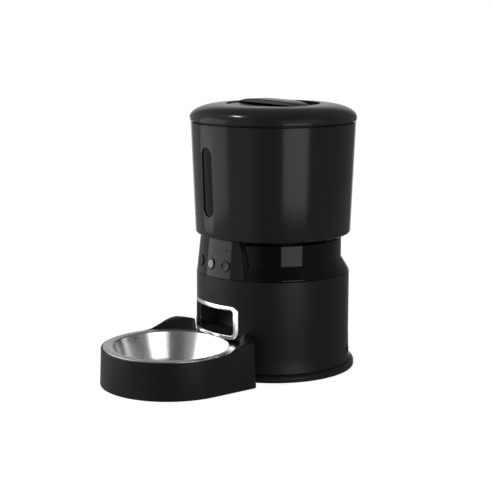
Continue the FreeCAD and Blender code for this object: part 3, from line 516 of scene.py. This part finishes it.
def on_panel(angle, level, depth=0.0):
    """The transform that puts an upright piece on the panel, pointing outwards."""
    share = (level - PANEL_LOW) / (PANEL_HIGH - PANEL_LOW)
    radius = PANEL_LOW_R + share * (PANEL_HIGH_R - PANEL_LOW_R)
    out = around(1, angle)
    normal = Vector((out.x * math.cos(panel_lean), out.y * math.cos(panel_lean), math.sin(panel_lean)))
    spot = around(radius, angle) + Vector((0, 0, level)) + normal * depth
    sideways = Vector((0, 0, 1)).cross(normal).normalized()
    turn = Matrix((sideways, normal.cross(sideways), normal)).transposed().to_4x4()
    return Matrix.Translation(spot) @ turn


neck = lathe([(BASE_R - WALL, BASE_TOP + 0.4), (BASE_R - 0.4, BASE_TOP + 0.4, 0.3),
              (BASE_R - 0.4, BASE_TOP + 2, 0.4), (NECK_R, 130, 2.0), (NECK_R, NECK_TOP, 1.2),
              (64, NECK_TOP, 0.4), (64, 126), (11, 126), (11, 123.5), (66.5, 123.5),
              (66.5, 151), (77.5, 151), (77.5, 129.4), (BASE_R - 2.9, BASE_TOP + 2)])
panel_gap = carve(panel_shape(-0.9, -3), rod(77.3, 0, REACH * 2, steps=256))
neck = carve(neck, block((-28, 28), (-61, -28), (100, 140), corner=3, axis=2), panel_gap)
bmesh.ops.remove_doubles(neck, verts=neck.verts, dist=0.02)
round_edges(neck, lambda edge: len(edge.link_faces) == 2 and edge.calc_face_angle() > 0.6 and all(
    vert.co.y < -60 and abs(vert.co.x) > 34 and BASE_TOP + 0.9 < vert.co.z < NECK_TOP - 1.5
    and vert.co.xy.length > 78 for vert in edge.verts), 0.7, 3)
finish_piece("neck_ring", neck, "gloss_black", "base", ["neck_collar"])

# %% Panel
panel = panel_shape(0, 0)
round_edges(panel, lambda edge: edge.calc_face_angle() > 0.7 and all(
    vert.co.xy.length > NECK_R for vert in edge.verts), 1.1, 4)
panel = carve(panel, panel_shape(2.2, 2.2), rod(77.7, 0, REACH * 2, steps=256))
holes = [moved(rod(BUTTON_R + 0.35, -10, 10, steps=96), on_panel(angle, BUTTON_LEVEL))
         for angle in BUTTON_ANGLES.values()]
holes.append(moved(rod(1.1, -10, 10, steps=32), on_panel(15.6, 146.4)))
panel = carve(panel, *holes)
finish_piece("panel_face", panel, "panel_black", "base", ["control_panel"])

# %% [markdown]
# ## Buttons
# Each button is a shallow dished cap. The middle one is a bright metal disc inside a dark ring,
# with a raised mark for dispensing.

# %% Buttons
def button_cap(radius, proud, edge):
    """A dished cap with a skirt that reaches behind the panel."""
    return lathe([(0, -4), (radius, -4), (radius, proud, edge), (radius - 1.2, proud + 0.1, 0.2),
                  (radius * 0.55, proud - 0.25), (0, proud - 0.4)], steps=96)


for side, angle in BUTTON_ANGLES.items():
    seat = on_panel(angle, BUTTON_LEVEL)
    name = f"button_{side}"
    if side == "centre":
        ring = lathe([(4.7, -4), (BUTTON_R, -4), (BUTTON_R, 1.2, 0.4), (4.7, 1.2, 0.3)], steps=96)
        finish_piece("button_ring", moved(ring, seat), "button_black", name, [name])
        disc = lathe([(0, -4), (4.65, -4), (4.65, 1.0, 0.3), (0, 0.8)], steps=96)
        petals = [rod(0.85, 0.85, 1.15, x=2.3 * math.cos(turn), y=2.3 * math.sin(turn), steps=24)
                  for turn in (math.tau * k / 6 for k in range(6))]
        finish_piece("button_disc", moved(joined(disc, *petals, rod(1.0, 0.85, 1.15, steps=24)), seat),
                     "button_silver", name)
    else:
        cap = moved(button_cap(BUTTON_R, 1.2, 0.5), seat)
        finish_piece(f"button_cap_{side}", cap, "button_black", name, [name])

# %% Paw sign
def pad(x, y, half_x, half_y, steps):
    """One flat oval pad of the sign."""
    stretch = Matrix.Diagonal((half_x, half_y, 1, 1))
    return moved(rod(1.0, -0.1, 0.1, steps=steps), Matrix.Translation((x, y, 0)) @ stretch)


toes = [(-3.0, 0.9, 0.85), (-1.1, 2.4, 0.95), (1.1, 2.4, 0.95), (3.0, 0.9, 0.85)]
sign = [pad(x, y, size, size * 1.35, 32) for x, y, size in toes]
sign.append(pad(0, -1.2, 2.3, 1.7, 48))
finish_piece("paw_sign", moved(joined(*sign), on_panel(0, 146.0)), "sign_grey", "base")

# %% [markdown]
# ## Base
# The base is a tall plain drum with a slight flare above the foot. It is cut away for the tray, the outlet,
# the battery door and the power inlet.

# %% Base
MOUTH_LOW, MOUTH_HIGH = mouth_low.z, mouth_high.z
POCKET_TOP = 45.8
base = lathe([(BASE_R - WALL, 9.6), (BASE_R + 2.4, 9.6), (BASE_R + 2.4, 10.8), (BASE_R + 0.9, 14.2),
              (BASE_R + 0.4, 27.2), (BASE_R, 43.2), (BASE_R, BASE_TOP, 0.8), (BASE_R - WALL, BASE_TOP)])
tray_pocket = rod(80.4, 0, POCKET_TOP, y=-AXIS_GAP, steps=256)
outlet = block((-MOUTH_HALF + 1.6, MOUTH_HALF - 1.6), (-REACH, -40), (MOUTH_LOW + 1.6, MOUTH_HIGH - 1.6),
               corner=5)
door_gap = block((-54.4, 54.4), (40, REACH), (13.6, 80.4), corner=2)
INLET_ANGLE, INLET_LEVEL = 128, 22
inlet_hole = moved(rod(5.2, -12, 12, steps=64),
                   Matrix.Translation(around(BASE_R, INLET_ANGLE) + Vector((0, 0, INLET_LEVEL)))
                   @ Matrix.Rotation(math.radians(INLET_ANGLE), 4, "Z")
                   @ Matrix.Rotation(math.radians(90), 4, "X"))
base = carve(base, tray_pocket, outlet, door_gap, inlet_hole)
finish_piece("base_drum", base, "satin_black", "base", ["base_shell"])

# %% Foot
FOOT_GAP = 40.0
foot = lathe([(BASE_R - WALL, 1.0, 0.3), (FOOT_R, 1.0, 0.9), (FOOT_R, FOOT_TOP, 4.2),
              (BASE_R - WALL, FOOT_TOP)],
             start=-90 + FOOT_GAP, sweep=360 - 2 * FOOT_GAP)
finish_piece("foot_flare", foot, "satin_black", "base", ["foot_ring"])

# %% [markdown]
# ## Outlet frame
# A bright rounded frame wraps the drum round the outlet, with a short sleeve behind it.

# %% Outlet frame
BAND = 4.3
LOW_BAND = 3.8
wrap = lathe([(BASE_R + 0.05, MOUTH_LOW - 2), (BASE_R + 1.8, MOUTH_LOW - 2), (BASE_R + 1.8, MOUTH_HIGH + 2),
              (BASE_R + 0.05, MOUTH_HIGH + 2)], steps=128, start=-125, sweep=70)
outer = block((-MOUTH_HALF, MOUTH_HALF), (-REACH, -40), (MOUTH_LOW, MOUTH_HIGH), corner=6.5)
ring = carve(wrap, outer, operation="INTERSECT")


def frame_hole():
    """The opening inside the frame."""
    return block((-MOUTH_HALF + BAND, MOUTH_HALF - BAND), (-REACH, -30),
                 (MOUTH_LOW + LOW_BAND, MOUTH_HIGH - BAND), corner=4)


ring = carve(ring, frame_hole())
bmesh.ops.remove_doubles(ring, verts=ring.verts, dist=0.02)
round_edges(ring, lambda edge: len(edge.link_faces) == 2 and edge.calc_face_angle() > 0.7 and all(
    vert.co.xy.length > BASE_R + 1.5 for vert in edge.verts), 0.6, 3)
sleeve = lathe([(BASE_R - 4.4, 44), (BASE_R + 0.4, 44), (BASE_R + 0.4, 88), (BASE_R - 4.4, 88)],
               steps=128, start=-125, sweep=70)
sleeve_outline = block((-MOUTH_HALF + 2, MOUTH_HALF - 2), (-REACH, -40), (MOUTH_LOW + 2, MOUTH_HIGH - 2),
                       corner=5)
sleeve = carve(carve(sleeve, sleeve_outline, operation="INTERSECT"), frame_hole())
bright_frame = finish_piece("outlet_frame", joined(ring, sleeve), "chrome", "base", ["mouth_frame"])

# %% [markdown]
# ## Tray
# The tray is round in front and runs back beside the drum in two wings. Each wing swells into a soft hump
# and falls again before it meets the drum.

# %% Tray
FLAT_R = 76.2                   # the bowl's flange lies inside this radius
BARREL_CLEAR = BASE_R + 0.9     # the wings stay this far from the drum's axis
WING_EDGE = ((2, 0), (22, 1.2), (34, 5.0), (46, 9.6), (58, 11.6), (68, 10.6), (84, 5.5))
WING_CREST = ((18, 0), (34, 5.6), (48, 11.0), (60, 13.9), (68, 13.0), (84, 6.0))
CHEEK = 94.9                    # how far the wings' slanted rear corners stand from the bowl's axis
CHEEK_ACROSS, CHEEK_BACK = 0.592, 0.806     # the direction in which they face
BLEND = 1.2                     # rounding between the wing's side and its rear corner
DRAFT = 1.6                     # how much narrower the tray is at its top


def through(points, value):
    """A smooth curve through a few points, level beyond its ends."""
    if value <= points[0][0]:
        return points[0][1]
    if value >= points[-1][0]:
        return points[-1][1]
    slopes = [0.0] + [(after[1] - before[1]) / (after[0] - before[0])
                      for before, after in zip(points, points[2:])]
    slopes.append((points[-1][1] - points[-2][1]) / (points[-1][0] - points[-2][0]))
    index = next(i for i in range(len(points) - 1) if value <= points[i + 1][0])
    (x0, y0), (x1, y1) = points[index], points[index + 1]
    t, width = (value - x0) / (x1 - x0), x1 - x0
    return ((2 * t ** 3 - 3 * t ** 2 + 1) * y0 + (t ** 3 - 2 * t ** 2 + t) * width * slopes[index]
            + (3 * t ** 2 - 2 * t ** 3) * y1 + (t ** 3 - t ** 2) * width * slopes[index + 1])


def least(values, blend_width):
    """The smallest of several values, with the corners between them rounded."""
    low = min(values)
    return low - blend_width * math.log(sum(math.exp((low - value) / blend_width) for value in values))


def tray_reach(turn):
    """How far the tray goes from the bowl's axis, at an angle from the right towards the drum."""
    across, back = abs(math.cos(turn)), math.sin(turn)
    if back <= 0:
        return TRAY_R
    side = TRAY_R / max(across, 0.01)
    cheek = CHEEK / (CHEEK_ACROSS * across + CHEEK_BACK * back)
    inside = (AXIS_GAP * back) ** 2 - (AXIS_GAP ** 2 - BARREL_CLEAR ** 2)
    limits_here = [side, cheek]
    if inside > 0:
        limits_here.append(AXIS_GAP * back - math.sqrt(inside))
    return max(least(limits_here, BLEND), TRAY_R)


wing_rings = [(FLAT_R + 0.4 * step, TRAY_TOP) for step in range(7)]
tray = lathe([(TRAY_CAVITY_R, 3.0), (TRAY_CAVITY_R, TRAY_TOP, 0.6)] + wing_rings + [
    (TRAY_R, TRAY_TOP, 0.9), (TRAY_R, 24), (TRAY_R, 0.5, 0.7), (0, 0.5), (0, 3.0)], steps=360)
for vert in tray.verts:
    radius = vert.co.xy.length
    if radius <= FLAT_R + 0.01:
        continue
    turn = math.atan2(vert.co.y, vert.co.x)
    share = (radius - FLAT_R) / (TRAY_R - FLAT_R)
    draft = DRAFT * max(0.0, vert.co.z) / TRAY_TOP
    reach = tray_reach(turn) - draft
    new_radius = FLAT_R + share * (reach - FLAT_R)
    height = vert.co.z
    x, y = math.cos(turn) * new_radius, math.sin(turn) * new_radius
    if height > 25 and reach > FLAT_R + 1 and abs(x) > 40 and y > -20:
        crest = through(WING_CREST, y) * min(1.0, max(0.0, (new_radius - FLAT_R) / 5.0)) ** 0.6
        edge = through(WING_EDGE, y)
        lift = edge + (crest - edge) * (1 - share) if share < 1 else edge
        room = math.hypot(x, y - AXIS_GAP) - BARREL_CLEAR
        height += max(lift, 0.0) * min(1.0, share * 3) * min(1.0, max(0.0, room / 1.5))
    vert.co = Vector((x, y, height))
finish_piece("tray_body", tray, "satin_black", "tray", ["bowl_holder"], centre=BOWL, crease=45)

# %% [markdown]
# ## Steel bowl
# The bowl is spun from thin steel: a flat flange on the tray, a rolled lip, a sloping wall and a flat floor.
# Its brushing runs round it, so the light spreads in broad fans from the middle.

# %% Bowl
SHEET = 0.8
BOWL_FLOOR = bowl_low.z
bowl = lathe([(BOWL_R, BOWL_RIM - SHEET, 0.3), (BOWL_R, BOWL_RIM, 0.3), (66.0, BOWL_RIM, 1.2),
              (64.8, BOWL_RIM - SHEET), (53.4, BOWL_FLOOR + 3.5, 6), (48.5, BOWL_FLOOR + SHEET),
              (0, BOWL_FLOOR + SHEET), (0, BOWL_FLOOR), (48.8, BOWL_FLOOR), (54.2, BOWL_FLOOR + 2.9, 6),
              (65.6, 41.2), (66.4, BOWL_RIM - SHEET)])
around_map = bowl.loops.layers.uv.new("around")
for face in bowl.faces:
    middle = math.atan2(face.calc_center_median().y, face.calc_center_median().x)
    for corner in face.loops:
        spot = corner.vert.co
        turn = math.atan2(spot.y, spot.x) if spot.xy.length > 0.01 else middle
        turn += math.tau * round((middle - turn) / math.tau)
        corner[around_map].uv = (turn / math.tau, (spot.xy.length + spot.z) / 120)
spun_bowl = finish_piece("bowl_spun", bowl, "stainless", "tray", ["steel_bowl"], centre=BOWL)

# %% [markdown]
# ## Light, floor and camera
# The background is plain white. A white wall stands behind the object and gives its edges their light rim.
# Two tall soft boxes on the camera's side draw the upright bands on the drum and the hopper.
# The steel, the bright frame and the lid have boxes of their own, which light nothing else.

# %% Light
scene.view_settings.view_transform = "Standard"
CAMERA_AT = Vector((1.21096, -0.87285, 0.4162))
CAMERA_AIM = Vector((-0.790634, 0.585707, -0.178459))
HEART = Vector((0, BARREL.y * MM, 0.17))
away = Vector((CAMERA_AIM.x, CAMERA_AIM.y, 0)).normalized()

world = bpy.data.worlds.new("studio")
scene.world = world
world.use_nodes = True
sky = world.node_tree
sky.nodes.clear()
way = add(sky, "ShaderNodeTexCoord")
split = add(sky, "ShaderNodeSeparateXYZ", {"Vector": way.outputs["Generated"]})
side = Vector((-away.y, away.x, 0))


def ramped(source, low, high, at_low, at_high):
    """A value that goes evenly from at_low to at_high while the source goes from low to high."""
    return add(sky, "ShaderNodeMapRange", {"Value": source, "From Min": low, "From Max": high,
                                           "To Min": at_low, "To Max": at_high}).outputs[0]


def toward(direction):
    """How much a ray points in a direction."""
    return add(sky, "ShaderNodeVectorMath", {0: way.outputs["Generated"], 1: direction},
               operation="DOT_PRODUCT").outputs["Value"]


def total(kind, first, second):
    """The sum or product of two values."""
    return add(sky, "ShaderNodeMath", {0: first, 1: second}, operation=kind).outputs[0]


behind = ramped(toward(away), 0.88, 0.985, 0.0, 1.0)
AMBIENT = 0.12
height = split.outputs["Z"]
level = total("ADD", ramped(height, -0.06, 0.03, 1.7, 0.0), ramped(height, 0.30, 0.42, 0.45, 0.0))
wings = total("ADD", ramped(toward(side), 0.3, 0.6, 0.0, 0.26), ramped(toward(-side), 0.3, 0.6, 0.0, 0.08))
glow = total("ADD", total("ADD", total("MULTIPLY", behind, level), wings), AMBIENT)
path = add(sky, "ShaderNodeLightPath")
seen = add(sky, "ShaderNodeMix", {0: path.outputs["Is Camera Ray"], 2: glow, 3: 1.0})
lit = add(sky, "ShaderNodeBackground", {"Color": (1, 1, 1, 1), "Strength": seen.outputs[0]})
add(sky, "ShaderNodeOutputWorld", {"Surface": lit.outputs[0]})


def shine_only_on(holder, pieces):
    """Keeps a light off everything but a few pieces."""
    lit_pieces = bpy.data.collections.new(f"{holder.name}_lights")
    for piece in pieces:
        lit_pieces.objects.link(piece)
    holder.light_linking.receiver_collection = lit_pieces


def soft_box(name, turn, low, high, span, radiance, distance=0.9, centre=BARREL, only=()):
    """An upright soft box of an angular span that faces an axis, turned to the right of the camera."""
    middle = Vector((-away.x, -away.y, 0))
    middle.rotate(Matrix.Rotation(math.radians(turn), 3, "Z"))
    lamp = bpy.data.lights.new(name, "AREA")
    lamp.shape = "RECTANGLE"
    lamp.size = 2 * distance * math.tan(math.radians(span / 2))
    lamp.size_y = high - low
    lamp.energy = radiance * math.pi * lamp.size * lamp.size_y
    holder = bpy.data.objects.new(name, lamp)
    scene.collection.objects.link(holder)
    holder.location = Vector((0, centre.y * MM, (low + high) / 2)) + middle * distance
    holder.rotation_mode = "QUATERNION"
    holder.rotation_quaternion = (-middle).to_track_quat("-Z", "Y")
    if only:
        shine_only_on(holder, only)
    return holder


soft_box("box_right", 29, -0.06, 0.40, 34, 1.60)
soft_box("lid_right", 40, 0.40, 1.5, 60, 0.35, only=[lid_dome, lid_bar])
soft_box("box_left", -89, -0.06, 0.90, 48, 1.00)
soft_box("bowl_right", 31, 0.20, 1.3, 40, 1.7, 1.3, BOWL, [spun_bowl])
soft_box("bowl_left", -95, 0.16, 1.3, 80, 1.7, 1.3, BOWL, [spun_bowl])
soft_box("frame_fill", -60, -0.5, 1.3, 110, 1.5, 1.3, BOWL, [bright_frame])
soft_box("frame_side", 40, -0.5, 1.3, 90, 1.2, 1.3, BOWL, [bright_frame])
spark = bpy.data.lights.new("spark", "AREA")
spark.shape, spark.size, spark.energy = "DISK", 0.13, 2.2
spark_holder = bpy.data.objects.new("spark", spark)
scene.collection.objects.link(spark_holder)
spark_holder.location = HEART + Vector((-0.384, -0.173, 0.907)) * 1.5
spark_holder.rotation_mode = "QUATERNION"
spark_holder.rotation_quaternion = (HEART - spark_holder.location).to_track_quat("-Z", "Y")
shine_only_on(spark_holder, [lid_dome, lid_bar])

# %% Floor
floor_mesh = bmesh.new()
bmesh.ops.create_grid(floor_mesh, x_segments=1, y_segments=1, size=6)
bmesh.ops.translate(floor_mesh, verts=floor_mesh.verts, vec=(0, 0, -0.0004))
mesh = bpy.data.meshes.new("floor")
floor_mesh.to_mesh(mesh)
floor_mesh.free()
floor = bpy.data.objects.new("floor", mesh)
scene.collection.objects.link(floor)
floor.visible_glossy = floor.visible_diffuse = floor.visible_shadow = floor.visible_transmission = False
pale = bpy.data.materials.new("pale_floor")
pale.use_nodes = True
tree = pale.node_tree
tree.nodes.clear()
path = add(tree, "ShaderNodeLightPath")
shine = add(tree, "ShaderNodeEmission", {"Color": (1, 1, 1, 1), "Strength": 0.93})
shaded = add(tree, "ShaderNodeBsdfDiffuse", {"Color": (0.5, 0.5, 0.5, 1)})
bright = add(tree, "ShaderNodeAddShader", {0: shine.outputs[0], 1: shaded.outputs[0]})
dull = add(tree, "ShaderNodeBsdfDiffuse", {"Color": (0.35, 0.35, 0.35, 1)})
both = add(tree, "ShaderNodeMixShader", {
    0: path.outputs["Is Camera Ray"], 1: dull.outputs[0], 2: bright.outputs[0]})
add(tree, "ShaderNodeOutputMaterial", {"Surface": both.outputs[0]})
floor.data.materials.append(pale)

# %% Camera
lens = bpy.data.cameras.new("camera")
lens.lens, lens.sensor_width, lens.shift_y = 97.64, 36, 0.0013
camera = bpy.data.objects.new("camera", lens)
scene.collection.objects.link(camera)
camera.location = CAMERA_AT
camera.rotation_mode = "QUATERNION"
camera.rotation_quaternion = CAMERA_AIM.to_track_quat("-Z", "Y")
scene.camera = camera
